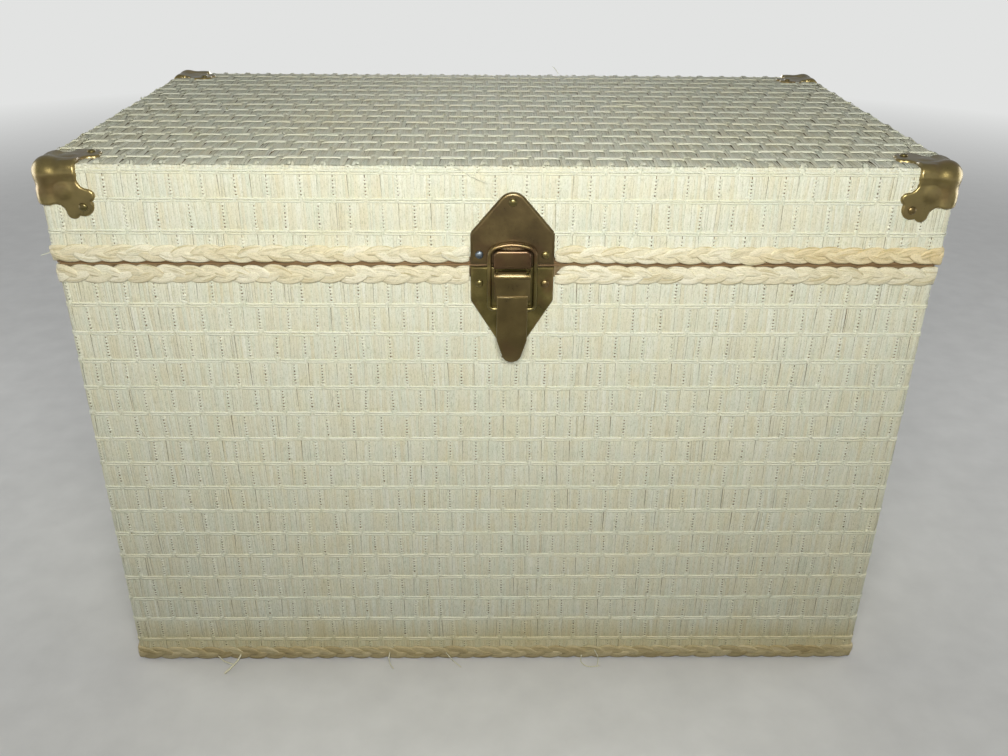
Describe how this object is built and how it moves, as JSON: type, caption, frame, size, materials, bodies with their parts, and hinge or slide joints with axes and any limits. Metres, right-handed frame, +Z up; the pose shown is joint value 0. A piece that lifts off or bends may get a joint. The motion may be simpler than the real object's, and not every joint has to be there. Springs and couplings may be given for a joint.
{
  "type": "woven chest",
  "caption": "Straw-matting covered wooden chest with a hinged lid, braided trim, brass corner caps, a draw latch and drop handles at the ends.",
  "frame": {"origin": "centre of the underside of the bottom board, on the floor", "axes": "+X along the width, +Y to the back (the latch faces -Y), +Z up"},
  "size_m": [0.6344, 0.3647, 0.4269],
  "materials": {
    "board_wood": "bare, aged",
    "straw_matting": "woven straw, matt",
    "straw_braid": "plaited straw, satin",
    "aged_brass": "tarnished, worn bright on edges",
    "steel_nail": "dull zinc"
  },
  "bodies": {
    "box": {"bottom_board": "board_wood", "front_board": "board_wood", "back_board": "board_wood", "left_end_board": "board_wood", "right_end_board": "board_wood", "corner_posts": "board_wood", "box_matting": "straw_matting", "box_rim_braid": "straw_braid", "base_braid": "straw_braid", "latch_lower_plate": "aged_brass", "latch_lever_pin": "aged_brass", "latch_lower_nails": "aged_brass", "left_hinge_lower": "aged_brass", "right_hinge_lower": "aged_brass", "left_hinge_pin": "aged_brass", "right_hinge_pin": "aged_brass", "hinge_lower_nails": "aged_brass", "left_handle_plate": "aged_brass", "right_handle_plate": "aged_brass", "handle_nails": "aged_brass"},
    "lid": {"lid_top_board": "board_wood", "lid_front_rail": "board_wood", "lid_back_rail": "board_wood", "lid_left_rail": "board_wood", "lid_right_rail": "board_wood", "lid_corner_blocks": "board_wood", "lid_side_matting": "straw_matting", "lid_top_matting": "straw_matting", "lid_braid": "straw_braid", "corner_cap_front_left": "aged_brass", "corner_cap_front_right": "aged_brass", "corner_cap_back_left": "aged_brass", "corner_cap_back_right": "aged_brass", "corner_cap_nails": "aged_brass", "latch_upper_plate": "aged_brass", "latch_strike": "aged_brass", "latch_upper_nails": "aged_brass", "latch_steel_nail": "steel_nail", "left_hinge_upper": "aged_brass", "right_hinge_upper": "aged_brass", "hinge_upper_nails": "aged_brass"},
    "latch_lever": {"latch_lever": "aged_brass"},
    "latch_bail": {"latch_bail": "aged_brass"},
    "left_handle": {"left_handle_bar": "aged_brass"},
    "right_handle": {"right_handle_bar": "aged_brass"}
  },
  "joints": [
    {"name": "lid_hinge", "type": "hinge", "parent": "box", "child": "lid", "pos_m": [0, 0.1764, 0.3556], "axis": [-1, 0, 0], "range_deg": [0, 170]},
    {"name": "lever_pivot", "type": "hinge", "parent": "box", "child": "latch_lever", "pos_m": [0.0084, -0.1798, 0.3497], "axis": [-1, 0, 0], "range_deg": [0, 120]},
    {"name": "bail_pivot", "type": "hinge", "parent": "latch_lever", "child": "latch_bail", "pos_m": [0.0084, -0.178, 0.3248], "axis": [-1, 0, 0], "range_deg": [-150, 0]},
    {"name": "left_handle_swing", "type": "hinge", "parent": "box", "child": "left_handle", "pos_m": [-0.3118, 0, 0.268], "axis": [0, 1, 0], "range_deg": [0, 175]},
    {"name": "right_handle_swing", "type": "hinge", "parent": "box", "child": "right_handle", "pos_m": [0.3118, 0, 0.268], "axis": [0, -1, 0], "range_deg": [0, 175]}
  ],
  "couplings": [
    {"joint": "bail_pivot", "follows": "lever_pivot", "ratio": -1.25}
  ]
}
